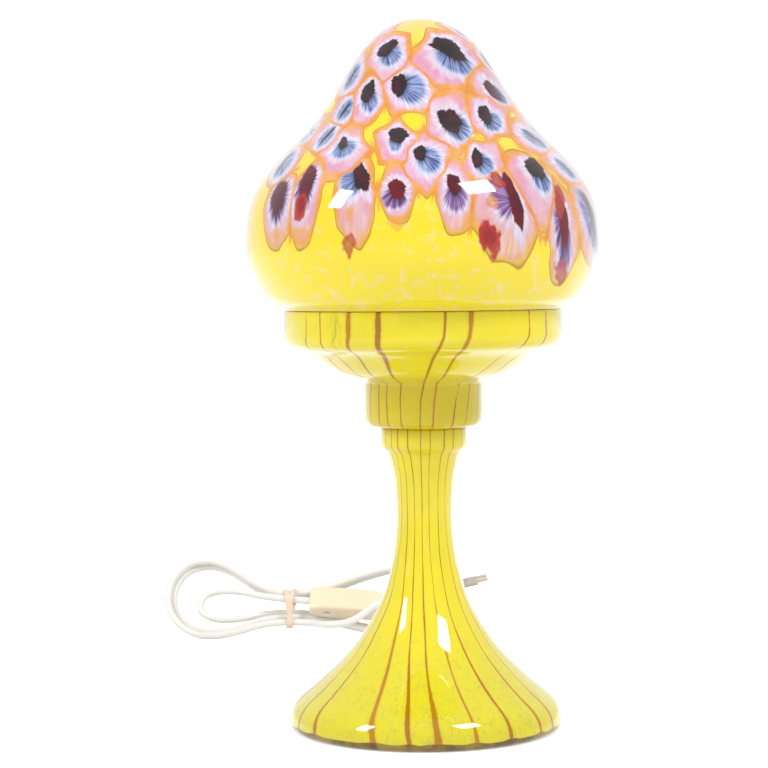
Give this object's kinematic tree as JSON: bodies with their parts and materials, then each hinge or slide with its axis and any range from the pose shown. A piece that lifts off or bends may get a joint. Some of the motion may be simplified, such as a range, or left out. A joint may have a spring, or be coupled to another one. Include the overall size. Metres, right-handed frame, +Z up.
{
  "type": "table lamp",
  "caption": "Blown-glass table lamp: a one-piece flared base with a cup, a lift-off domed shade in it, and its lampholder, bulb, bundled cord, in-line switch and flat plug.",
  "frame": {"origin": "on the table, at the middle of the ground ring under the foot", "axes": "+Z up the lamp's axis; +Y to the back, where the cord leaves the foot; +X to the right as seen from the front"},
  "size_m": [0.3047, 0.5023, 0.437],
  "materials": {
    "yellow_glass": "lemon-yellow cased glass with amber-brown threads that run up it, glossy",
    "flower_glass": "yellow glass with pink and navy flower canes, glossy",
    "cord_sheath": "white soft vinyl sheath",
    "elastic": "peach elastic, matt",
    "switch_shell": "cream moulded plastic, half gloss",
    "rocker_plastic": "cream moulded plastic, half gloss",
    "plug_plastic": "white moulded vinyl",
    "sleeve_plastic": "grey-beige plastic sleeve",
    "nickel": "nickel-plated brass, bright",
    "gasket_rubber": "black rubber, matt",
    "zinc_steel": "zinc-plated steel",
    "tube_brass": "plain brass",
    "holder_plastic": "black moulded plastic, half gloss",
    "block_ceramic": "white ceramic, plain",
    "shell_metal": "pressed aluminium",
    "contact_brass": "spring brass",
    "grommet_rubber": "off-white rubber, matt",
    "core_brown": "brown core sheath",
    "core_blue": "blue core sheath",
    "bulb_glass": "clear glass",
    "black_glass": "black insulating glass",
    "filament_coat": "yellow phosphor coat"
  },
  "bodies": {
    "lamp": {"base_glass": "yellow_glass", "cord_lead": "cord_sheath", "cord_hank": "cord_sheath", "rubber_band": "elastic", "switch_top_shell": "switch_shell", "switch_bottom_shell": "switch_shell", "switch_contacts": "contact_brass", "switch_screws": "zinc_steel", "plug_body": "plug_plastic", "plug_relief": "plug_plastic", "plug_pins": "nickel", "pin_sleeves": "sleeve_plastic", "ledge_gasket": "gasket_rubber", "holder_plate": "zinc_steel", "plate_nut": "tube_brass", "threaded_tube": "tube_brass", "throat_bung": "gasket_rubber", "bung_washer": "zinc_steel", "lock_washer": "zinc_steel", "clamp_nut": "tube_brass", "tube_bush": "holder_plastic", "holder_cap": "holder_plastic", "holder_side_screw": "zinc_steel", "holder_body": "holder_plastic", "holder_block": "block_ceramic", "screw_shell": "shell_metal", "centre_contact": "contact_brass", "terminal_screws": "zinc_steel", "cord_inner": "cord_sheath", "core_brown": "core_brown", "core_blue": "core_blue", "cord_grommet": "grommet_rubber"},
    "shade": {"shade_glass": "flower_glass"},
    "bulb": {"bulb_glass": "bulb_glass", "bulb_cap": "shell_metal", "bulb_insulator": "black_glass", "bulb_contact": "shell_metal", "bulb_mount": "bulb_glass", "bulb_filaments": "filament_coat"},
    "rocker": {"switch_rocker": "rocker_plastic"}
  },
  "joints": [
    {"name": "shade_lift", "type": "slide", "parent": "lamp", "child": "shade", "axis": [0, 0, 1], "range_m": [0, 0.12]},
    {"name": "bulb_withdraw", "type": "slide", "parent": "lamp", "child": "bulb", "axis": [0, 0, 1], "range_m": [0, 0.03]},
    {"name": "rocker_tilt", "type": "hinge", "parent": "lamp", "child": "rocker", "pos_m": [-0.05458, 0.35743, 0.03102], "axis": [0, 0.8191, -0.5736], "range_deg": [0, 14]}
  ]
}
